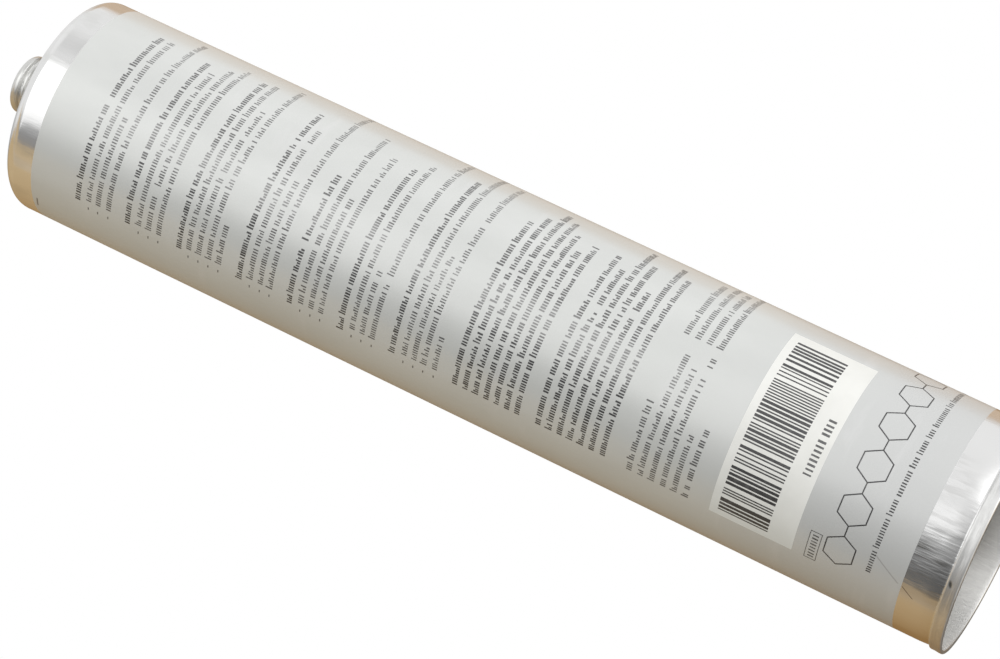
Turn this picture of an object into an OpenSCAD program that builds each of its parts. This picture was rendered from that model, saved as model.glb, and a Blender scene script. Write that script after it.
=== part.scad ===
// Rigid aluminium cartridge for a paste adhesive, used in a hand-held
// dispensing gun. An impact-extruded tube with a flat front shoulder and a
// closed threaded neck holds the charge of paste. A drawn cup piston slides in
// the open rear end and pushes the paste out. The cartridge stands on its rear
// rim with the neck up, and the origin is the centre of that rim.
// All sizes are in millimetres.

/* [Tube] */
// Outside diameter of the tube
tube_d = 47.5; // [44:0.5:52]
// Thickness of the tube's wall
wall = 0.45; // [0.4:0.05:0.7]
// Height of the front shoulder's face above the rear rim
shoulder_h = 217.2; // [180:0.2:250]
// Thickness of the front shoulder
shoulder_t = 0.9; // [0.7:0.1:1.4]
// Outside radius of the shoulder's corner
corner_r = 3.2; // [3:0.1:5]

/* [Neck] */
// Diameter over the neck's thread
neck_d = 12.9; // [11:0.1:16]
// Height of the neck above the shoulder
neck_h = 10.4; // [8:0.1:14]
// Diameter of the passage up the neck
passage_d = 8.4; // [6:0.1:8.6]
// Thickness of the membrane that closes the neck's tip
membrane_t = 0.5; // [0.3:0.1:1]
// Radius of the tip's outer edge
tip_r = 1.4; // [0.5:0.1:1.5]
// Radius of the fillet at the neck's foot
foot_r = 0.8; // [0.5:0.1:1]

/* [Rear rim] */
// Height of the hem, where the wall is folded out on itself
hem_h = 2.8; // [2:0.1:4]
// How far the hem stands out from the tube
hem_t = 0.5; // [0.35:0.05:0.7]
// How much the mouth is widened, on the radius
mouth_step = 0.1; // [0.05:0.05:0.2]
// Height of the end of the widened mouth
mouth_h = 17; // [12:0.5:18]
// Height of the taper from the mouth to the bore
taper_h = 2; // [1:0.5:2]

/* [Piston] */
// Height of the piston's rear edge above the rear rim
piston_z = 21; // [20.5:0.5:60]
// Height of the piston from its rear edge to its front face
piston_h = 12; // [9:0.5:20]
// Thickness of the piston's sheet
piston_t = 0.6; // [0.4:0.05:1]
// Gap between the piston and the bore, on the radius
piston_gap = 0.05; // [0.02:0.01:0.1]
// Outside radius of the piston's front corner
piston_corner_r = 3; // [2:0.1:3.2]

/* [Paste] */
// Gap between the paste and the tube
paste_gap = 0.1; // [0.05:0.05:0.3]
// Gap between the paste and the piston's face
paste_piston_gap = 0.3; // [0.2:0.1:0.6]

/* [Hidden] */
$fn = 128;
over = 1;
tube_r = tube_d / 2;
bore_r = tube_r - wall;
mouth_r = bore_r + mouth_step;
hem_r = tube_r + hem_t;
neck_r = neck_d / 2;
passage_r = passage_d / 2;
tip_h = shoulder_h + neck_h;
// rounding of the fold at the rear rim, outside and inside, and of the hem's free edge
fold_r = 0.28;
fold_inner_r = 0.2;
hem_edge_r = 0.22;
// centre of the shoulder's corner, outside and inside
corner_x = tube_r - corner_r;
corner_z = shoulder_h - corner_r;
inner_z = shoulder_h - shoulder_t;
inner_r = corner_r - wall;
inner_corner_z = inner_z - inner_r;
piston_r = bore_r - piston_gap;
piston_front = piston_z + piston_h;

// a rectangle from one corner to the other
module rect(x0, z0, x1, z1) {
    translate([x0, z0]) square([x1 - x0, z1 - z0]);
}

// a block from the axis outwards, with its outer top corner rounded
module round_top(r, z0, z1, edge) {
    rect(0, z0, r, z1 - edge);
    rect(0, z0, r - edge, z1);
    translate([r - edge, z1 - edge]) circle(edge);
}

// a concave fillet in the angle between a wall at x0 and a floor at z0
module foot_fillet(x0, z0, r) {
    difference() {
        rect(x0 - r / 2, z0 - r / 2, x0 + r, z0 + r);
        translate([x0 + r, z0 + r]) circle(r);
    }
}

// half section of the tube's outside: hem, wall, shoulder and neck
module outside_section() {
    rect(0, fold_r, tube_r, corner_z);
    round_top(tube_r, 0 + hem_h / 2, shoulder_h, corner_r);
    round_top(neck_r, corner_z, tip_h, tip_r);
    foot_fillet(neck_r, shoulder_h, foot_r);
    round_top(hem_r, fold_r, hem_h, hem_edge_r);
    rect(0, 0, hem_r - fold_r, fold_r + 0.01);
    translate([hem_r - fold_r, fold_r]) circle(fold_r);
}

// half section of the hollow inside: mouth, taper, bore, shoulder and passage
module hollow_section() {
    rect(0, -over, mouth_r, mouth_h);
    polygon([[0, mouth_h - over], [mouth_r, mouth_h - over], [mouth_r, mouth_h],
             [bore_r, mouth_h + taper_h], [0, mouth_h + taper_h]]);
    round_top(bore_r, mouth_h + taper_h - 0.01, inner_z, inner_r);
    rect(0, inner_corner_z, passage_r, tip_h - membrane_t);
    // the inner edge of the fold
    difference() {
        rect(mouth_r - fold_inner_r, -over, mouth_r + fold_inner_r, fold_inner_r);
        rect(mouth_r + fold_inner_r, -2 * over, mouth_r + over, over);
        translate([mouth_r + fold_inner_r, fold_inner_r]) circle(fold_inner_r);
    }
}

// tube, shoulder, threaded neck, membrane and hem, extruded from one slug
module cartridge_body() {
    color([0.80, 0.80, 0.79])
    rotate_extrude()
    difference() {
        outside_section();
        hollow_section();
    }
}

// drawn cup: flat face to the front, skirt to the rear
module piston() {
    color([0.72, 0.72, 0.71])
    rotate_extrude()
    difference() {
        round_top(piston_r, piston_z, piston_front, piston_corner_r);
        round_top(piston_r - piston_t, piston_z - over, piston_front - piston_t,
                  piston_corner_r - piston_t);
    }
}

// the charge of paste, from the piston's face to the membrane
module adhesive_fill() {
    color([0.09, 0.09, 0.10])
    rotate_extrude()
    union() {
        round_top(bore_r - paste_gap, piston_front + paste_piston_gap,
                  inner_z - paste_gap, inner_r - paste_gap);
        rect(0, inner_corner_z, passage_r - paste_gap,
             tip_h - membrane_t - 2 * paste_gap);
    }
}

cartridge_body();
piston();
adhesive_fill();
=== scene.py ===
import bpy, bmesh, math, random
from mathutils import Matrix, Vector, noise


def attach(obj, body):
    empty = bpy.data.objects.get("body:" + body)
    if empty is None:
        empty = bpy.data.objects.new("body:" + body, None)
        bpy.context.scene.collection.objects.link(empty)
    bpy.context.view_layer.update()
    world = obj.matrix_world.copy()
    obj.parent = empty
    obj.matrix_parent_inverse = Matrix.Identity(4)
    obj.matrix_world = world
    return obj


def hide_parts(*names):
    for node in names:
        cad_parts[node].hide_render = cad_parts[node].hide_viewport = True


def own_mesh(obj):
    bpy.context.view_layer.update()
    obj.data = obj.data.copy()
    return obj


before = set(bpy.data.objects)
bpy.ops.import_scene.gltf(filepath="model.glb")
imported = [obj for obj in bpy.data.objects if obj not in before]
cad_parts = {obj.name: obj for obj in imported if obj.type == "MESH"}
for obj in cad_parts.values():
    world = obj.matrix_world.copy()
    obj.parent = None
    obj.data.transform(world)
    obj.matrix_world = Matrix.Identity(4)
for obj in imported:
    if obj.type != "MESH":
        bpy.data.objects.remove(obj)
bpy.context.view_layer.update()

MM = 0.001

# ---------------------------------------------------------------- sizes, mm
TUBE_R = 23.75
BORE_R = 23.30
MOUTH_R = 23.40
HEM_R = 24.25
CORNER_R = 3.2
SHOULDER_Z = 217.2
INNER_Z = 216.3
INNER_R = 2.75
NECK_R = 6.45
TIP_Z = 227.6
TIP_R = 1.4
PASSAGE_R = 4.2
MEMBRANE = 0.5
LACQUER_Z0, LACQUER_Z1 = 10.7, 209.8
LACQUER_T = 0.008
SEG = 288

# ---------------------------------------------------------------- camera
# Camera in pixels and millimetres: x right, y down, z forward, from the outline of the object.
FOCAL_PX = 3400.0
TILT, SLANT = math.radians(15.51), math.radians(25.45)
LABEL_EDGE = Vector((87.6, 37.2, 666.1))
EDGE_TO_RIM = 10.6
to_rear = Vector((math.cos(SLANT) * math.cos(TILT), math.sin(SLANT) * math.cos(TILT), -math.sin(TILT)))
rim = LABEL_EDGE + to_rear * EDGE_TO_RIM
row_z = -to_rear
side = -(rim + row_z * 110)
side = (side - row_z * side.dot(row_z)).normalized()
row_y = -side
row_x = row_y.cross(row_z)
to_row = Matrix((row_x, row_y, row_z))          # camera axes to row axes
CAM_RIGHT = to_row @ Vector((1, 0, 0))
CAM_UP = to_row @ Vector((0, -1, 0))
CAM_BACK = to_row @ Vector((0, 0, -1))
cam_data = bpy.data.cameras.new("camera")
cam_data.sensor_width = 36.0
cam_data.lens = FOCAL_PX / 1000.0 * 36.0
cam_data.clip_start, cam_data.clip_end = 0.01, 50.0
cam = bpy.data.objects.new("camera", cam_data)
bpy.context.scene.collection.objects.link(cam)
m = Matrix((CAM_RIGHT, CAM_UP, CAM_BACK)).transposed().to_4x4()
m.translation = (to_row @ (-rim)) * MM
cam.matrix_world = m
bpy.context.scene.camera = cam


# ---------------------------------------------------------------- node helpers
class Nodes:
    """Short names for the nodes of one material or world."""

    def __init__(self, tree):
        self.t = tree
        tree.nodes.clear()

    def add(self, kind, **props):
        n = self.t.nodes.new(kind)
        for k, v in props.items():
            setattr(n, k, v)
        return n

    def put(self, socket, value):
        if isinstance(value, bpy.types.NodeSocket):
            self.t.links.new(value, socket)
        else:
            socket.default_value = value

    def math(self, op, a, b=0.0, c=0.0, clamp=False):
        n = self.add("ShaderNodeMath", operation=op, use_clamp=clamp)
        for s, v in zip(n.inputs, (a, b, c)):
            self.put(s, v)
        return n.outputs[0]

    def mul(self, *values):
        out = values[0]
        for v in values[1:]:
            out = self.math("MULTIPLY", out, v)
        return out

    def total(self, *values):
        out = values[0]
        for v in values[1:]:
            out = self.math("ADD", out, v)
        return out

    def vec(self, op, a, b=(0, 0, 0), scale=None):
        n = self.add("ShaderNodeVectorMath", operation=op)
        self.put(n.inputs[0], a)
        if op not in ("NORMALIZE", "LENGTH", "SCALE"):
            self.put(n.inputs[1], b)
        if scale is not None:
            self.put(n.inputs["Scale"], scale)
        return n.outputs["Value"] if op in ("DOT_PRODUCT", "LENGTH", "DISTANCE") else n.outputs[0]

    def xyz(self, v):
        n = self.add("ShaderNodeSeparateXYZ")
        self.put(n.inputs[0], v)
        return n.outputs

    def join(self, x, y, z):
        n = self.add("ShaderNodeCombineXYZ")
        for s, v in zip(n.inputs, (x, y, z)):
            self.put(s, v)
        return n.outputs[0]

    def step(self, v, a, b, lo=0.0, hi=1.0, smooth=True):
        n = self.add("ShaderNodeMapRange", interpolation_type="SMOOTHSTEP" if smooth else "LINEAR")
        for s, x in zip(n.inputs, (v, a, b, lo, hi)):
            self.put(s, x)
        return n.outputs[0]

    def mix(self, f, a, b, blend="MIX"):
        n = self.add("ShaderNodeMix", data_type="RGBA", blend_type=blend)
        self.put(n.inputs["Factor"], f)
        self.put(n.inputs["A"], a)
        self.put(n.inputs["B"], b)
        return n.outputs["Result"]

    def noise(self, v, scale, detail=3.0, rough=0.55):
        n = self.add("ShaderNodeTexNoise")
        self.put(n.inputs["Vector"], v)
        self.put(n.inputs["Scale"], scale)
        self.put(n.inputs["Detail"], detail)
        self.put(n.inputs["Roughness"], rough)
        return n.outputs[0]

    def object_mm(self):
        """Where the point is in the row frame, in millimetres."""
        c = self.add("ShaderNodeTexCoord")
        return self.vec("SCALE", c.outputs["Object"], scale=1000.0)

    def bump(self, height, strength, distance=0.001, normal=None):
        n = self.add("ShaderNodeBump")
        self.put(n.inputs["Strength"], strength)
        self.put(n.inputs["Distance"], distance)
        self.put(n.inputs["Height"], height)
        if normal is not None:
            self.put(n.inputs["Normal"], normal)
        return n.outputs[0]

    def arc(self, p):
        """(arc length from the middle of the seen side, height), both in millimetres."""
        x, y, z = self.xyz(p)
        a = self.math("ARCTAN2", x, self.math("MULTIPLY", y, -1.0))
        return self.math("MULTIPLY", a, TUBE_R), z

    def scratch(self, arc, z, p0, p1, half):
        """1 on a thin line between two points of the unrolled surface."""
        d = Vector(p1) - Vector(p0)
        length = d.length
        d.normalize()
        du = self.math("SUBTRACT", arc, p0[0])
        dz = self.math("SUBTRACT", z, p0[1])
        along = self.math("ADD", self.math("MULTIPLY", du, d.x), self.math("MULTIPLY", dz, d.y))
        off = self.math("ABSOLUTE", self.math("SUBTRACT", self.math("MULTIPLY", du, d.y), self.math("MULTIPLY", dz, d.x)))
        near = self.step(off, half, half * 0.35)
        ends = self.math("MULTIPLY", self.step(along, -0.1, 0.3), self.step(along, length + 0.1, length - 0.3))
        return self.math("MULTIPLY", near, ends)

    def shader(self, **sockets):
        n = self.add("ShaderNodeBsdfPrincipled")
        for k, v in sockets.items():
            self.put(n.inputs[k.replace("_", " ")], v)
        out = self.add("ShaderNodeOutputMaterial")
        self.t.links.new(n.outputs[0], out.inputs[0])
        return n


def material(name):
    mat = bpy.data.materials.new(name)
    mat.use_nodes = True
    return mat, Nodes(mat.node_tree)


# ---------------------------------------------------------------- materials
def bare_aluminium():
    """Polished drawn aluminium with forming lines along the tube, heavy at the rear and light at the front; on part of
    the rear band the lines carry a painted dark reflection.
    """
    mat, n = material("bare_aluminium")
    p = n.object_mm()
    x, y, z = n.xyz(p)
    # lines along the tube, heavy on part of the rear band
    arc, h = n.arc(p)
    lines = n.noise(n.join(x, y, n.mul(z, 0.20)), 0.62, 2.0, 0.5)
    fine = n.noise(n.join(x, y, n.mul(z, 0.07)), 3.0, 2.0, 0.5)
    cloud = n.noise(p, 0.09, 3.0, 0.6)
    rear = n.step(z, 40.0, 12.0)
    neck = n.step(z, 217.6, 218.4)
    front = n.mul(n.step(z, 205.0, 209.0), n.step(z, 218.4, 217.0))
    tarnish = n.mul(n.step(n.noise(n.join(x, y, n.mul(z, 0.5)), 0.19, 3.0, 0.5), 0.44, 0.72), front)
    # the heavy lines, and the painted dark reflection in them, fade round the tube, sooner next to the hem
    heavy_lines_and_painted_dark = n.mul(rear, n.step(arc, -17.5, -14.0), n.step(n.math("SUBTRACT", arc, n.mul(h, 0.9)), 8.0, -3.0))
    height = n.total(n.mul(lines, 0.86), n.mul(fine, 0.14))
    deepest_lines_and_painted_dark = n.step(arc, -4.5, -7.5)
    strength = n.total(n.mul(heavy_lines_and_painted_dark, n.step(arc, -13.5, -9.0, 0.22, 1.0), n.total(n.mul(deepest_lines_and_painted_dark, 0.42), n.step(arc, -0.5, -4.5, 0.20, 0.42))), n.mul(rear, 0.08), n.mul(front, 0.07), 0.04)
    # partly real, partly painted reflection: this mask makes the heavy lines rougher, and below it darkens their base
    # colour for the dark surroundings they mirror
    dull_and_painted_reflection = n.mul(n.step(lines, 0.50, 0.66), heavy_lines_and_painted_dark, n.total(n.mul(deepest_lines_and_painted_dark, 0.72), 0.28))
    rough = n.total(n.mul(dull_and_painted_reflection, 0.12), n.mul(cloud, 0.08), n.mul(rear, 0.05), n.mul(neck, 0.16), n.mul(tarnish, 0.08), 0.10)
    # painted reflection: the base colour goes dark in the heavy lines on part of the rear band
    tone = n.mix(n.mul(dull_and_painted_reflection, 0.85), (0.87, 0.87, 0.865, 1), (0.27, 0.27, 0.26, 1))
    tone = n.mix(n.mul(tarnish, 0.34), tone, (0.62, 0.63, 0.60, 1))
    tone = n.mix(n.mul(neck, 0.8), tone, (0.66, 0.66, 0.64, 1))
    mark = n.scratch(arc, h, (-16.5, 10.6), (-18.5, 7.8), 0.15)
    tone = n.mix(n.mul(mark, 0.70), tone, (0.16, 0.12, 0.08, 1))
    n.shader(Base_Color=tone, Metallic=1.0, Roughness=rough, Normal=n.bump(height, strength, 0.00032))
    return mat


def hem_aluminium():
    """The folded rim: duller from the forming rolls, with rub marks round it and one nick."""
    mat, n = material("hem_aluminium")
    p = n.object_mm()
    x, y, z = n.xyz(p)
    arc, h = n.arc(p)
    round_lines = n.noise(n.join(n.mul(x, 0.12), n.mul(y, 0.12), z), 2.6, 3.0, 0.6)
    cloud = n.noise(n.join(n.mul(x, 0.5), n.mul(y, 0.5), z), 0.35, 3.0, 0.6)
    tone = n.mix(n.step(cloud, 0.35, 0.7), (0.77, 0.77, 0.76, 1), (0.64, 0.64, 0.63, 1))
    tone = n.mix(n.mul(n.step(round_lines, 0.55, 0.7), 0.35), tone, (0.52, 0.52, 0.51, 1))
    # painted shade: the foot of the fold is darkened to a brownish grey, for the shadow along the rim's edge
    tone = n.mix(n.step(z, 0.36, 0.10, 0.0, 0.7), tone, (0.33, 0.26, 0.17, 1))
    du, dz = n.math("ADD", arc, 11.15), n.math("SUBTRACT", h, 1.97)
    along = n.total(n.mul(du, 0.95), n.mul(dz, 0.32))
    across = n.math("SUBTRACT", n.mul(dz, 1.98), n.mul(du, 0.67))
    nick = n.step(n.math("SQRT", n.total(n.mul(along, along), n.mul(across, across))), 1.1, 0.3)
    tone = n.mix(n.mul(nick, 0.85), tone, (0.10, 0.10, 0.09, 1))
    rough = n.total(n.mul(cloud, 0.12), n.mul(round_lines, 0.10), 0.28)
    n.shader(Base_Color=tone, Metallic=1.0, Roughness=rough, Normal=n.bump(n.total(round_lines, n.mul(nick, -1.0)), 0.22, 0.0002))
    return mat


def lacquer():
    """Satin silver-grey lacquer with a fine metallic grain, faint handling smears and a few scuffs."""
    mat, n = material("satin_lacquer")
    p = n.object_mm()
    x, y, z = n.xyz(p)
    grain = n.noise(p, 9.0, 2.0, 0.7)
    cloud = n.noise(n.join(x, y, n.mul(z, 0.45)), 0.07, 4.0, 0.6)
    smear = n.noise(n.join(n.mul(x, 0.25), n.mul(y, 0.25), z), 0.16, 4.0, 0.65)
    tone = n.mix(n.step(cloud, 0.3, 0.7), (0.602, 0.613, 0.597, 1), (0.638, 0.649, 0.633, 1))
    # painted shade: the lacquer is darker towards the rear end, for light that falls off along the tube
    tone = n.mix(n.step(z, 70.0, 14.0), tone, (0.565, 0.572, 0.566, 1))
    tone = n.mix(n.mul(n.step(smear, 0.56, 0.74), 0.30), tone, (0.70, 0.70, 0.70, 1))
    tone = n.mix(n.mul(n.step(grain, 0.35, 0.75), 0.10), tone, (0.80, 0.80, 0.80, 1))
    arc, h = n.arc(p)
    mark = n.scratch(arc, h, (-25.0, 208.6), (-28.2, 208.9), 0.26)
    rub = n.scratch(arc, h, (-12.6, 17.2), (-16.4, 11.4), 0.18)
    tone = n.mix(n.mul(n.math("MAXIMUM", mark, n.mul(rub, 0.45)), 0.8), tone, (0.12, 0.10, 0.09, 1))
    rough = n.total(n.mul(cloud, 0.08), n.mul(n.step(smear, 0.5, 0.8), -0.04), 0.21)
    n.shader(Base_Color=tone, Metallic=0.22, Roughness=rough, Normal=n.bump(grain, 0.06, 0.0001))
    return mat


def inside_aluminium():
    """Unpolished inside of the drawn tube: satin, with lines along the draw."""
    mat, n = material("drawn_inside")
    p = n.object_mm()
    x, y, z = n.xyz(p)
    lines = n.noise(n.join(x, y, n.mul(z, 0.16)), 0.9, 4.0, 0.6)
    tone = n.mix(n.step(lines, 0.35, 0.7), (0.94, 0.94, 0.92, 1), (0.83, 0.825, 0.81, 1))
    # painted shade: the inside is darker deeper into the tube and towards one side, for the shade the rim casts inside
    tone = n.mix(n.mul(n.step(z, 0.8, 8.0), n.step(x, -9.0, -1.5, 0.12, 0.75)), tone, (0.33, 0.31, 0.28, 1))
    rough = n.total(n.mul(lines, 0.20), 0.32)
    n.shader(Base_Color=tone, Metallic=0.80, Roughness=rough, Normal=n.bump(lines, 0.35, 0.0003))
    return mat


def piston_aluminium():
    """Drawn sheet with rings from the draw tool and a dull face."""
    mat, n = material("drawn_piston")
    p = n.object_mm()
    x, y, z = n.xyz(p)
    r = n.math("SQRT", n.math("ADD", n.mul(x, x), n.mul(y, y)))
    rings = n.noise(n.join(r, n.mul(x, 0.03), n.mul(y, 0.03)), 1.8, 3.0, 0.6)
    cloud = n.noise(p, 0.12, 3.0, 0.6)
    tone = n.mix(n.step(cloud, 0.35, 0.7), (0.74, 0.74, 0.73, 1), (0.64, 0.64, 0.63, 1))
    rough = n.total(n.mul(rings, 0.2), 0.24)
    n.shader(Base_Color=tone, Metallic=1.0, Roughness=rough, Normal=n.bump(rings, 0.16, 0.0003))
    return mat


def paste():
    """Stiff black paste with folds from filling."""
    mat, n = material("black_paste")
    p = n.object_mm()
    folds = n.noise(p, 0.18, 4.0, 0.5)
    tone = n.mix(n.step(folds, 0.3, 0.7), (0.012, 0.012, 0.013, 1), (0.03, 0.03, 0.032, 1))
    rough = n.total(n.mul(folds, 0.2), 0.25)
    n.shader(Base_Color=tone, Roughness=rough, Normal=n.bump(folds, 0.4, 0.001))
    return mat


def ink(name, dark, light):
    """Screen-printed ink, a little thin in places, and lightened along the middle of the seen side, partly worn and
    partly a painted highlight.
    """
    mat, n = material(name)
    p = n.object_mm()
    thin = n.noise(p, 0.9, 3.0, 0.6)
    cloud = n.noise(p, 0.11, 2.0, 0.5)
    f = n.mul(n.step(thin, 0.42, 0.78), n.step(cloud, 0.35, 0.7))
    tone = n.mix(f, dark, light)
    arc, h = n.arc(p)
    # partly worn print, partly painted highlight: above about 60 mm the ink is lightened along the middle of the seen
    # side, where the lacquer's highlight falls
    rubbed_and_painted_glare = n.total(n.mul(n.step(arc, -6.0, 0.5), n.step(arc, 6.5, 3.5), 0.58), n.mul(n.step(arc, 3.5, 6.5), 0.22))
    tone = n.mix(n.mul(rubbed_and_painted_glare, n.step(h, 55.0, 70.0)), tone, (0.40, 0.40, 0.395, 1))
    n.shader(Base_Color=tone, Metallic=0.10, Specular_IOR_Level=0.9, Roughness=n.total(n.mul(thin, 0.2), 0.22), Normal=n.bump(thin, 0.05, 0.0001))
    return mat


def white_print():
    """White printed field under the bars."""
    mat, n = material("white_print")
    p = n.object_mm()
    cloud = n.noise(p, 0.12, 3.0, 0.6)
    tone = n.mix(n.step(cloud, 0.3, 0.75), (0.705, 0.705, 0.675, 1), (0.755, 0.755, 0.725, 1))
    n.shader(Base_Color=tone, Roughness=n.total(n.mul(cloud, 0.12), 0.38), Normal=n.bump(cloud, 0.04, 0.0001))
    return mat


MAT_BARE = bare_aluminium()
MAT_HEM = hem_aluminium()
MAT_LACQUER = lacquer()
MAT_INSIDE = inside_aluminium()
MAT_PISTON = piston_aluminium()
MAT_PASTE = paste()
MAT_INK_BOLD = ink("ink_bold", (0.040, 0.040, 0.041, 1), (0.12, 0.12, 0.12, 1))
MAT_INK = ink("ink_fine", (0.085, 0.085, 0.085, 1), (0.20, 0.20, 0.198, 1))
MAT_WHITE = white_print()


# ---------------------------------------------------------------- mesh helpers
def arc_points(cx, cz, r, a0, a1, steps):
    """Points on an arc, angles in degrees from +r towards +z."""
    return [
        (cx + r * math.cos(math.radians(a0 + (a1 - a0) * i / steps)), cz + r * math.sin(math.radians(a0 + (a1 - a0) * i / steps)))
        for i in range(steps + 1)
    ]


def lathe(name, rows, mats, uv_v, seg=SEG, radius=None):
    """A closed surface of revolution from rows of (r, z, material of the faces above the row).

    Both ends lie on the axis. radius(r, z, angle) may vary the radius round the axis. uv_v gives the height in the bake layout of each row.
    """
    verts, faces, fmat, fuv, start = [], [], [], [], []
    for r, z, _ in rows:
        start.append(len(verts))
        if r < 1e-6:
            verts.append((0.0, 0.0, z * MM))
            continue
        for j in range(seg):
            # the seam is at the back, +Y
            a = math.pi / 2 + 2 * math.pi * j / seg
            q = radius(r, z, a) if radius else r
            verts.append((q * math.cos(a) * MM, q * math.sin(a) * MM, z * MM))
    for i in range(len(rows) - 1):
        r0, r1 = rows[i][0], rows[i + 1][0]
        v0, v1 = uv_v[i], uv_v[i + 1]
        for j in range(seg):
            k = (j + 1) % seg
            u0, u1 = j / seg, (j + 1) / seg
            if r0 < 1e-6:
                faces.append((start[i], start[i + 1] + k, start[i + 1] + j))
                fuv.append(((u0 + u1) / 2, v0, u1, v1, u0, v1))
            elif r1 < 1e-6:
                faces.append((start[i] + j, start[i] + k, start[i + 1]))
                fuv.append((u0, v0, u1, v0, (u0 + u1) / 2, v1))
            else:
                faces.append((start[i] + j, start[i] + k, start[i + 1] + k, start[i + 1] + j))
                fuv.append((u0, v0, u1, v0, u1, v1, u0, v1))
            fmat.append(rows[i][2])
    return mesh_object(name, verts, faces, mats, fmat, fuv)


def mesh_object(name, verts, faces, mats, fmat=None, fuv=None, sharp=35.0, smooth=True):
    me = bpy.data.meshes.new(name)
    me.from_pydata(verts, [], faces)
    for mt in mats:
        me.materials.append(mt)
    if fmat:
        me.polygons.foreach_set("material_index", fmat)
    if fuv:
        layer = me.uv_layers.new(name="OFBake")
        layer.data.foreach_set("uv", [c for f in fuv for c in f])
    me.update()
    bm = bmesh.new()
    bm.from_mesh(me)
    bmesh.ops.recalc_face_normals(bm, faces=bm.faces)
    bm.to_mesh(me)
    bm.free()
    if smooth:
        me.polygons.foreach_set("use_smooth", [True] * len(me.polygons))
        me.set_sharp_from_angle(angle=math.radians(sharp))
    me.validate()
    o = bpy.data.objects.new(name, me)
    bpy.context.scene.collection.objects.link(o)
    return o


def v_layout(rows, spans):
    """Bake heights for rows: spans is a list of (number of rows, share of the picture), each laid out by length."""
    out, at, top = [], 0, 0.002
    for count, share in spans:
        part = rows[at:at + count]
        run = [0.0]
        for a, b in zip(part, part[1:]):
            run.append(run[-1] + math.hypot(b[0] - a[0], b[1] - a[1]))
        total = max(run[-1], 1e-9)
        out += [top + share * q / total for q in run]
        top += share
        at += count
    return out


# ---------------------------------------------------------------- the tube
BARE, LACQ, INS, HEM = 0, 1, 2, 3
PITCH, THREAD_DEPTH = 1.5, 0.62
THREAD_Z0, THREAD_Z1 = 218.3, 226.0


def smooth(a, b, x):
    t = min(max((x - a) / (b - a), 0.0), 1.0)
    return t * t * (3 - 2 * t)


def neck_radius(r, z, a):
    """The neck's right-hand thread, cut into the plain neck."""
    if r < NECK_R - 0.01 or r > NECK_R + 0.01 or not THREAD_Z0 - 0.01 <= z <= THREAD_Z1 + 0.01:
        return r
    f = ((z - THREAD_Z0) / PITCH - a / (2 * math.pi)) % 1.0
    crest = smooth(0.10, 0.36, f) * (1 - smooth(0.60, 0.86, f))
    fade = smooth(THREAD_Z0, THREAD_Z0 + 0.9, z) * (1 - smooth(THREAD_Z1 - 0.7, THREAD_Z1, z))
    low = NECK_R - THREAD_DEPTH * fade
    return low + THREAD_DEPTH * fade * crest


def wall(z):
    """Outside of the tube near the rear, drawn in a little above the hem."""
    return TUBE_R - 0.16 * min(max((6.2 - z) / 3.3, 0.0), 1.0) ** 2


inner = []
inner += [(0.0, TIP_Z - MEMBRANE), (PASSAGE_R - 0.3, TIP_Z - MEMBRANE)]
inner += arc_points(PASSAGE_R - 0.3, TIP_Z - MEMBRANE - 0.3, 0.3, 90, 0, 4)[1:]
inner += [(PASSAGE_R, INNER_Z + 0.4)]
inner += [(PASSAGE_R + 0.4 - 0.4 * math.cos(math.radians(a)), INNER_Z + 0.4 - 0.4 * math.sin(math.radians(a))) for a in (22.5, 45, 67.5, 90)]
inner += [(12.0, INNER_Z)]
inner += arc_points(BORE_R - INNER_R, INNER_Z - INNER_R, INNER_R, 90, 0, 10)
inner += [(BORE_R, z) for z in range(200, 19, -10)]
inner += [(BORE_R, 19.0), (MOUTH_R, 17.0), (MOUTH_R, 12.0), (MOUTH_R, 8.0), (MOUTH_R, 4.0), (MOUTH_R, 1.2)]
# the fold at the rear, a half round
FOLD_R = (HEM_R - MOUTH_R) / 2
fold = arc_points(MOUTH_R + FOLD_R, FOLD_R, FOLD_R, 180, 360, 16)
# the hem, a little hollow between fold and free edge, and the crease where it meets the tube
hem = [(HEM_R, 0.62), (HEM_R - 0.008, 0.85), (HEM_R - 0.045, 1.2), (HEM_R - 0.085, 1.6), (HEM_R - 0.095, 1.95), (HEM_R - 0.085, 2.25)]
hem += arc_points(HEM_R - 0.49, 2.44, 0.40, 4, 88, 9)
hem += [(TUBE_R - 0.06, 2.80), (TUBE_R - 0.13, 2.81)]
outer = [(wall(z), z) for z in (2.9, 3.2, 3.6, 4.1, 4.6, 5.2, 5.8, 6.4, 7.4, 9.0)] + [(TUBE_R, LACQUER_Z0 - 0.06), (TUBE_R, LACQUER_Z0)]
label = [(TUBE_R + LACQUER_T, LACQUER_Z0 + 0.12), (TUBE_R + LACQUER_T, LACQUER_Z0 + 0.20)]
label += [(TUBE_R + LACQUER_T, z) for z in range(15, 206, 5)]
label += [(TUBE_R + LACQUER_T, LACQUER_Z1 - 0.20), (TUBE_R + LACQUER_T, LACQUER_Z1 - 0.12)]
front = [(TUBE_R, LACQUER_Z1), (TUBE_R, LACQUER_Z1 + 0.06), (TUBE_R, 211.5), (TUBE_R, 212.8)]
front += arc_points(TUBE_R - CORNER_R, SHOULDER_Z - CORNER_R, CORNER_R, 0, 90, 22)
front += [(16.0, SHOULDER_Z), (11.0, SHOULDER_Z)]
front += [(NECK_R + 0.8 - 0.8 * math.sin(math.radians(a)), SHOULDER_Z + 0.8 - 0.8 * math.cos(math.radians(a))) for a in range(0, 91, 15)]
neck = []
z = THREAD_Z0
while z < THREAD_Z1 + 1e-6:
    neck.append((NECK_R, z))
    z += 0.11
if THREAD_Z1 - neck[-1][1] > 0.02:
    neck.append((NECK_R, THREAD_Z1))
tip = arc_points(NECK_R - TIP_R, TIP_Z - TIP_R, TIP_R, 0, 90, 10)
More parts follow.
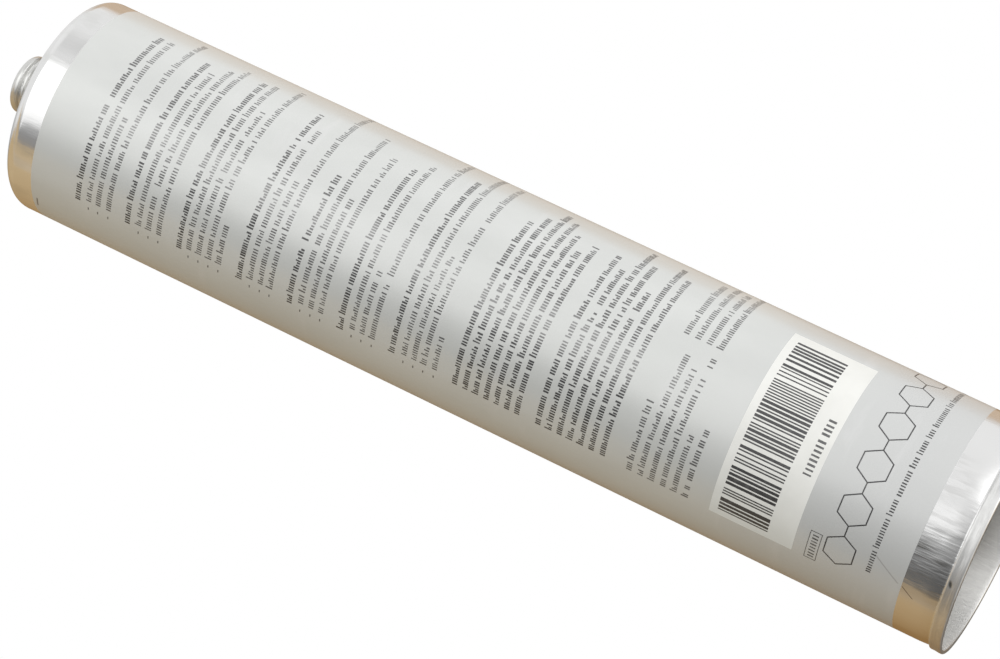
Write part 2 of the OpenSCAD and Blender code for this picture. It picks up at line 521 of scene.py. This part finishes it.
tip += [(4.75, TIP_Z), (4.55, TIP_Z - 0.03), (4.35, TIP_Z - 0.12), (4.15, TIP_Z - 0.15), (2.0, TIP_Z - 0.15), (0.0, TIP_Z - 0.15)]

rows, spans = [], []
for pts, mat in ((inner, INS), (fold, HEM), (hem, HEM), (outer, BARE), (label, LACQ), (front, BARE), (neck, BARE), (tip, BARE)):
    rows += [(r, z, mat) for r, z in pts]
# the step at each edge of the lacquer belongs to the lacquer
first = len(inner) + len(fold) + len(hem) + len(outer)
rows[first - 1] = (*rows[first - 1][:2], LACQ)
n_in = len(inner)
spans = [(n_in, 0.16), (len(rows) - n_in, 0.83)]
body = lathe("tube_shell", rows, [MAT_BARE, MAT_LACQUER, MAT_INSIDE, MAT_HEM], v_layout(rows, spans), radius=neck_radius)
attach(body, "cartridge")
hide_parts("cartridge_body")

# ---------------------------------------------------------------- the piston
PISTON_Z, PISTON_TOP, PISTON_R, PISTON_T = 21.0, 33.0, 23.25, 0.6
prow = [(0.0, PISTON_TOP), (10.0, PISTON_TOP), (16.0, PISTON_TOP)]
prow += arc_points(PISTON_R - 3.0, PISTON_TOP - 3.0, 3.0, 90, 0, 12)
prow += [(PISTON_R, 28.0), (PISTON_R, 25.0), (PISTON_R, PISTON_Z + 0.3)]
prow += arc_points(PISTON_R - 0.3, PISTON_Z + 0.3, 0.3, 0, -180, 10)[1:]
prow += [(PISTON_R - PISTON_T, 25.0), (PISTON_R - PISTON_T, 28.0)]
prow += arc_points(PISTON_R - 3.0, PISTON_TOP - 3.0, 2.4, 0, 90, 10)
# a shallow stiffening step pressed into the face
prow += [(17.4, PISTON_TOP - 0.6), (17.0, PISTON_TOP - 0.64), (16.5, PISTON_TOP - 0.86), (16.1, PISTON_TOP - 0.9), (9.4, PISTON_TOP - 0.9), (9.0, PISTON_TOP - 0.86), (8.5, PISTON_TOP - 0.64), (8.1, PISTON_TOP - 0.6), (0.0, PISTON_TOP - 0.6)]
prow = [(r, z, 0) for r, z in prow]
piston = lathe("piston_cup", prow, [MAT_PISTON], v_layout(prow, [(len(prow), 0.99)]), seg=192)
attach(piston, "piston_cup")
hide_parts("piston")

# ---------------------------------------------------------------- the paste
FILL_R, FILL_Z0, FILL_Z1 = BORE_R - 0.1, 33.3, INNER_Z - 0.1
frow = [(0.0, FILL_Z0), (12.0, FILL_Z0)]
frow += arc_points(FILL_R - 1.0, FILL_Z0 + 1.0, 1.0, -90, 0, 5)
frow += [(FILL_R, z) for z in range(50, 211, 20)]
frow += arc_points(FILL_R - INNER_R + 0.1, FILL_Z1 - INNER_R + 0.1, INNER_R - 0.1, 0, 90, 8)
frow += [(PASSAGE_R - 0.1, FILL_Z1), (PASSAGE_R - 0.1, TIP_Z - MEMBRANE - 0.5), (PASSAGE_R - 0.4, TIP_Z - MEMBRANE - 0.2), (0.0, TIP_Z - MEMBRANE - 0.2)]
frow = [(r, z, 0) for r, z in frow]
fill = lathe("paste_charge", frow, [MAT_PASTE], v_layout(frow, [(len(frow), 0.99)]), seg=96)
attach(fill, "cartridge")
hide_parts("adhesive_fill")
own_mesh(fill)


# ---------------------------------------------------------------- the print
class Marks:
    """Closed slabs of ink that lie on the tube, placed by angle (degrees from the middle of the seen side) and height."""

    def __init__(self, r_in, r_out):
        self.r_in, self.r_out = r_in, r_out
        self.v, self.f, self.m, self.uv = [], [], [], []

    def ribbon(self, edges, mat):
        """A slab between two edges: edges is a list of ((angle, height), (angle, height)) pairs, lower and upper."""
        base = len(self.v)
        for pair in edges:
            for a, z in pair:
                a = math.radians(a)
                for r in (self.r_in, self.r_out):
                    self.v.append((r * math.sin(a) * MM, -r * math.cos(a) * MM, z * MM))

        def at(i, top, out):
            return base + i * 4 + top * 2 + out

        n = len(edges) - 1
        quads = []
        for i in range(n):
            quads += [
                (at(i, 0, 1), at(i + 1, 0, 1), at(i + 1, 1, 1), at(i, 1, 1)),
                (at(i, 0, 0), at(i, 1, 0), at(i + 1, 1, 0), at(i + 1, 0, 0)),
                (at(i, 0, 0), at(i + 1, 0, 0), at(i + 1, 0, 1), at(i, 0, 1)),
                (at(i, 1, 0), at(i, 1, 1), at(i + 1, 1, 1), at(i + 1, 1, 0)),
            ]
        quads += [(at(0, 0, 0), at(0, 0, 1), at(0, 1, 1), at(0, 1, 0)), (at(n, 0, 0), at(n, 1, 0), at(n, 1, 1), at(n, 0, 1))]
        for q in quads:
            self.f.append(q)
            self.m.append(mat)
            uvs = []
            for k in q:
                x, y, z = self.v[k]
                uvs += [math.atan2(x, -y) / (2 * math.pi) + 0.5, z / 0.228]
            self.uv.append(uvs)

    def slab(self, a0, a1, z0, z1, mat=0, step=1.6):
        """A patch from angle a0 to a1 and height z0 to z1."""
        n = max(1, math.ceil(abs(a1 - a0) / step))
        self.ribbon([((a0 + (a1 - a0) * i / n, z0), (a0 + (a1 - a0) * i / n, z1)) for i in range(n + 1)], mat)

    def line(self, p0, p1, width, mat=0):
        """A thin straight stroke on the unrolled surface between (angle, height) points."""
        d = Vector(((p1[0] - p0[0]) / DEG, p1[1] - p0[1])).normalized()
        s = Vector((-d.y, d.x)) * width / 2
        e = d * width * 0.3
        n = max(1, math.ceil(abs(p1[0] - p0[0]) / 1.6))
        edges = []
        for i in range(n + 1):
            t = i / n
            a = p0[0] + (p1[0] - p0[0]) * t + e.x * DEG * (2 * t - 1)
            z = p0[1] + (p1[1] - p0[1]) * t + e.y * (2 * t - 1)
            edges.append(((a - s.x * DEG, z - s.y), (a + s.x * DEG, z + s.y)))
        self.ribbon(edges, mat)

    def make(self, name, mats):
        return mesh_object(name, self.v, self.f, mats, self.m, self.uv, smooth=False)


rng = random.Random(41)
DEG = math.degrees(1 / TUBE_R)          # degrees per millimetre round the tube
BOLD, FINE = 0, 1
marks = Marks(TUBE_R - 0.01, TUBE_R + LACQUER_T + 0.008)


def worn(arc, z):
    """Where the print has rubbed off."""
    v = noise.noise(Vector((arc / 6.0, z / 6.0, 3.7)))
    return v > 0.52 and rng.random() < 0.6


def ticks(z, a0, a1, heavy, x_height=1.18, pitch=0.56, width=None, dash=False, even=False):
    """One line of greeked print: groups of short plain upright strokes."""
    width = width or (0.33 if heavy else 0.27)
    mat = BOLD if heavy else FINE
    lo = z - x_height / 2
    if dash:
        marks.slab(a0 - 2.4 * DEG, a0 - 1.7 * DEG, z - 0.12, z + 0.12, mat)
    a = a0
    while a < a1:
        tall = rng.random() < 0.3
        for i in range(rng.choice((3, 4, 6, 8, 9, 11, 13, 16, 20))):
            if a >= a1:
                break
            top = lo + x_height * (1.32 if tall and i == 0 else rng.uniform(0.95, 1.03))
            w = width * rng.uniform(0.85, 1.25)
            if not even and i > 0 and rng.random() < 0.2:
                top = lo + x_height * rng.uniform(0.55, 0.7)
            if not worn(math.radians(a) * TUBE_R, z):
                marks.slab(a, a + w * DEG, lo, top, mat, step=4)
            a += (pitch + rng.uniform(-0.05, 0.10)) * DEG
        a += 0.55 * DEG


LINES = [
    (198.2, -46, 58.5, 1), (195.6, -44, 59, 0), (193.3, -44, 4.7, 0), (190.8, -44, 73, 0),
    (186.1, -46, 55.5, 1), (183.4, -44, 49, 0), (181.0, -44, 58, 0), (178.6, -44, 65.4, 0),
    (173.6, -46, 60.7, 1), (171.3, -44, 62.8, 0), (168.9, -44, 39.5, 0), (166.5, -44, 70, 0), (164.1, -44, -22, 0),
    (159.1, -47, 56.2, 1), (156.6, -44, 45.9, 0), (154.2, -44, 13.3, 0), (151.9, -44, 82, 0),
    (147.2, -47, 24.9, 1), (144.6, -44, 61.9, 0), (142.2, -44, 17.1, 0), (139.9, -44, 49.3, 0),
    (135.1, -48, 48, 1), (132.5, -44.5, 56.7, 0), (130.2, -44.5, -8.7, 0), (127.8, -44.5, 80, 0),
    (123.1, -47, 60.7, 1), (120.4, -45, 84, 0), (118.1, -45, 11.6, 0), (115.8, -45, 78, 0), (113.4, -45, -25.5, 0),
]
for z, a0, a1, heavy in LINES:
    ticks(z, a0, a1, heavy, dash=not heavy)
for z, a1 in ((108.6, 49.3), (106.2, 57.9), (103.8, 71.4), (101.4, 66.2), (99.1, 55.5), (96.7, 43.5), (94.4, 52.4)):
    ticks(z, -48, a1, 1)
for z, a1 in ((89.6, 54.2), (87.1, 45.5), (84.8, 74), (82.4, 59.7), (80.0, 38.6), (77.6, 70.5), (75.1, 60.7)):
    ticks(z, -48, a1, 1)
for z, a1 in ((69.1, -9.6), (66.6, 18.0), (64.1, 17.6), (61.6, 21.4), (59.1, -15.6), (56.6, -8.2)):
    ticks(z, -49, a1, 0, width=0.28)
for z, a1 in ((69.1, 73), (66.6, 80), (64.1, 77), (61.6, 82)):
    ticks(z, 27.4, a1, 0, width=0.28)
# beside the bars, inside the white field
ticks(35.4, -9.5, 20.0, 0, x_height=1.7, pitch=0.95, width=0.42, even=True)
# small framed batch field
for a0, a1, z0, z1 in ((-50, -33, 28.15, 28.3), (-50, -33, 30.55, 30.7), (-50, -49.6, 28.3, 30.55), (-33.4, -33, 28.3, 30.55)):
    marks.slab(a0, a1, z0, z1, FINE)
ticks(29.4, -48.4, -34.6, 0, x_height=1.3, pitch=0.7, width=0.3, even=True)
# ring of greeked print near the rear
ticks(17.7, -41, 96, 1, x_height=1.0, pitch=0.58, width=0.27, even=True)
# a plain chain of hexagon outlines
HEX_R, HEX_Z, HEX_STEP = 3.5, 24.2, 22.5
for i in range(6):
    c = -37.0 + i * HEX_STEP
    h = [(c + HEX_R * math.cos(math.radians(60 * k)) * DEG, HEX_Z + HEX_R * math.sin(math.radians(60 * k))) for k in range(7)]
    for p0, p1 in zip(h, h[1:]):
        marks.line(p0, p1, 0.27, BOLD)
    if i < 5:
        marks.line((c + HEX_R * DEG, HEX_Z), (c + HEX_STEP - HEX_R * DEG, HEX_Z), 0.27, BOLD)

# bars on their white field
bars = Marks(TUBE_R - 0.01, TUBE_R + LACQUER_T + 0.014)
a = -46.2
while a < 54.0:
    w = rng.choice((1, 1, 1, 1, 2, 2, 2, 3)) * 0.30
    gap = rng.choice((1, 1, 1, 2, 2, 3)) * 0.30
    bars.slab(a, min(a + w * DEG, 54.6), 38.8, 49.6, 0)
    a += (w + gap) * DEG
field = Marks(TUBE_R - 0.012, TUBE_R + LACQUER_T + 0.005)
field.slab(-50.0, 58.3, 33.3, 51.3, 0, step=1.25)

for o in (marks.make("label_print", [MAT_INK_BOLD, MAT_INK]), bars.make("label_bars", [MAT_INK_BOLD]), field.make("label_field", [MAT_WHITE])):
    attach(o, "cartridge")

# ---------------------------------------------------------------- floor, light
mat, n = material("floor")
geo = n.add("ShaderNodeNewGeometry")
diffuse = n.add("ShaderNodeBsdfDiffuse")
diffuse.inputs["Color"].default_value = (0.86, 0.86, 0.85, 1)
clear = n.add("ShaderNodeBsdfTransparent")
pick = n.add("ShaderNodeMixShader")
n.put(pick.inputs[0], geo.outputs["Backfacing"])
n.put(pick.inputs[1], diffuse.outputs[0])
n.put(pick.inputs[2], clear.outputs[0])
out = n.add("ShaderNodeOutputMaterial")
n.put(out.inputs[0], pick.outputs[0])
me = bpy.data.meshes.new("floor")
me.from_pydata([(3 * math.cos(k * math.pi / 32), 3 * math.sin(k * math.pi / 32), 0.0) for k in range(64)], [], [tuple(range(64))])
me.materials.append(mat)
floor = bpy.data.objects.new("floor", me)
bpy.context.scene.collection.objects.link(floor)
floor.visible_diffuse = floor.visible_glossy = floor.visible_transmission = floor.visible_shadow = False

# Soft studio light all round, in the camera's axes (right, up, towards the camera): soft lamps, a window and a warm table top.
LAMPS = [                                       # direction, how narrow, strength
    ((-0.82, 0.57, 0.06), 10, 1.68), ((-0.73, -0.56, -0.40), 10, 1.20), ((-0.38, 0.91, -0.15), 10, 0.98), ((0.72, 0.26, 0.65), 10, 1.52),
    ((0.45, 0.45, 0.77), 30, 1.60), ((0.35, -0.75, 0.56), 10, 1.24), ((0.32, 0.41, 0.85), 10, 1.23), ((0.17, 0.41, -0.90), 10, 1.17),
    ((0.73, 0.61, 0.31), 10, 0.62), ((0.50, 0.87, -0.02), 10, 0.38), ((0.54, -0.34, 0.77), 10, 0.66), ((0.30, 0.60, 0.74), 30, 0.58),
    ((-0.74, 0.30, 0.60), 10, 0.58), ((0.40, 0.75, 0.53), 30, 0.38), ((0.00, -0.85, -0.52), 10, 0.49), ((0.55, 0.75, 0.37), 30, 0.49),
    ((-0.93, 0.25, -0.27), 10, 0.45), ((0.18, -0.49, -0.85), 10, 0.44), ((0.61, -0.46, -0.65), 10, 0.44), ((-0.57, -0.10, 0.81), 10, 0.36),
    ((-0.19, 0.87, 0.45), 30, 0.22), ((0.09, 0.87, -0.48), 30, 0.34), ((-0.45, 0.55, -0.70), 10, 0.90), ((-0.79, -0.42, 0.45), 30, 0.13),
    ((0.86, 0.20, 0.47), 10, 0.90),
]
LOOK = math.radians(47)
CARD_UP = CAM_UP * math.cos(LOOK) + CAM_BACK * math.sin(LOOK)
world = bpy.data.worlds.new("studio")
bpy.context.scene.world = world
world.use_nodes = True
n = Nodes(world.node_tree)
way = n.add("ShaderNodeTexCoord").outputs["Generated"]
elev = n.vec("DOT_PRODUCT", way, tuple(CARD_UP))
to_cam = n.vec("DOT_PRODUCT", way, tuple(CAM_BACK))
to_up = n.vec("DOT_PRODUCT", way, tuple(CAM_UP))
to_right = n.vec("DOT_PRODUCT", way, tuple(CAM_RIGHT))


def lobe(direction, narrow, power):
    """A soft round patch of light."""
    lr, lu, lc = direction
    lamp = (CAM_RIGHT * lr + CAM_UP * lu + CAM_BACK * lc).normalized()
    off = n.math("ADD", n.vec("DOT_PRODUCT", way, tuple(lamp * narrow)), math.log(power) - narrow)
    return n.math("POWER", math.e, off)


lit = n.total(*(lobe(*lamp) for lamp in LAMPS))
low = n.math("SUBTRACT", to_up, n.mul(n.math("ADD", to_right, 0.48), 0.533))
window = n.mul(n.step(low, -0.15, -0.02), n.step(to_up, 0.75, 0.67), n.step(to_cam, 0.34, 0.46), n.step(to_right, -0.05, -0.35))
# mirrored in the metal, the lamps on the left are no brighter than the wall behind them, and the ceiling is pale
path = n.add("ShaderNodeLightPath")
wall_level = n.total(n.step(to_right, -0.12, 0.14), 0.84)
ceiling = n.math("SUBTRACT", n.step(to_up, 0.60, 0.78, 0.0, 0.90), lobe((-0.15, 0.91, 0.385), 30, 0.19))
ceiling = n.math("MAXIMUM", ceiling, lobe((-0.08, 0.62, 0.78), 20, 0.86))
mirrored = n.math("MAXIMUM", n.math("MINIMUM", lit, wall_level), ceiling)
lit = n.math("ADD", lit, n.mul(path.outputs["Is Glossy Ray"], n.math("SUBTRACT", mirrored, lit)))
glint = n.mul(path.outputs["Is Glossy Ray"], n.step(to_up, 0.20, 0.45), n.step(to_right, -0.26, -0.38))
lit = n.math("ADD", lit, n.mul(window, n.total(n.mul(glint, 0.34), 0.56)))
tone = n.join(lit, lit, lit)
# the table top: behind and beside the part, and in front of it with a slanted edge
slant = n.mul(n.math("MAXIMUM", n.math("SUBTRACT", -0.58, to_right), 0.0), 1.41)
near = n.step(to_cam, -0.15, 0.15)
front_top = n.mul(n.step(n.math("SUBTRACT", elev, n.math("SUBTRACT", slant, 0.42)), 0.04, -0.04), near)
past = n.mul(n.step(to_right, -0.05, -0.3), n.step(to_up, -0.04, 0.07))
rise = n.math("SUBTRACT", elev, n.step(to_right, -0.35, -0.05, 0.0, 0.22))
back_top = n.mul(n.step(rise, -0.06, -0.26), n.math("SUBTRACT", 1.0, near), n.math("SUBTRACT", 1.0, past))
wood = n.mix(n.step(to_right, -0.25, -0.75, smooth=False), (0.375, 0.245, 0.115, 1), (0.56, 0.42, 0.245, 1))
shade = n.step(to_right, -0.28, -0.04)
wood = n.mix(shade, wood, n.mix(n.step(to_up, 0.10, 0.35), (0.28, 0.16, 0.06, 1), (0.62, 0.48, 0.355, 1)))
front_wood = n.mix(shade, n.mix(n.step(to_right, -0.55, -0.78, smooth=False), (0.37, 0.268, 0.15, 1), (0.57, 0.44, 0.275, 1)), (0.06, 0.065, 0.05, 1))
# below the standing part's foot, the metal mirrors a plain grey floor
foot = n.mul(n.step(n.xyz(way)[2], -0.15, -0.25), path.outputs["Is Glossy Ray"])
grey = n.step(to_right, -0.6, 0.6, 0.50, 0.30)
grey = n.join(grey, grey, grey)
tone = n.mix(back_top, tone, n.mix(foot, wood, grey))
tone = n.mix(front_top, tone, n.mix(foot, front_wood, grey))
# the light it throws is paler than its mirror image
tone = n.mix(n.mul(path.outputs["Is Diffuse Ray"], n.total(back_top, front_top)), tone, (0.82, 1.0, 1.0, 1), blend="MULTIPLY")
# a soft lamp behind, for the back
behind = n.math("ADD", n.vec("DOT_PRODUCT", way, tuple(CAM_BACK * -8.0)), math.log(2.2) - 8.0)
behind = n.mul(n.math("POWER", math.e, behind), path.outputs["Is Diffuse Ray"])
tone = n.vec("ADD", tone, n.join(behind, behind, behind))
tone = n.mix(path.outputs["Is Camera Ray"], tone, (1.0, 1.0, 1.0, 1))
bg = n.add("ShaderNodeBackground")
n.put(bg.inputs["Color"], tone)
bg.inputs["Strength"].default_value = 1.0
wout = n.add("ShaderNodeOutputWorld")
n.put(wout.inputs[0], bg.outputs[0])
bpy.context.scene.view_settings.view_transform = "Standard"
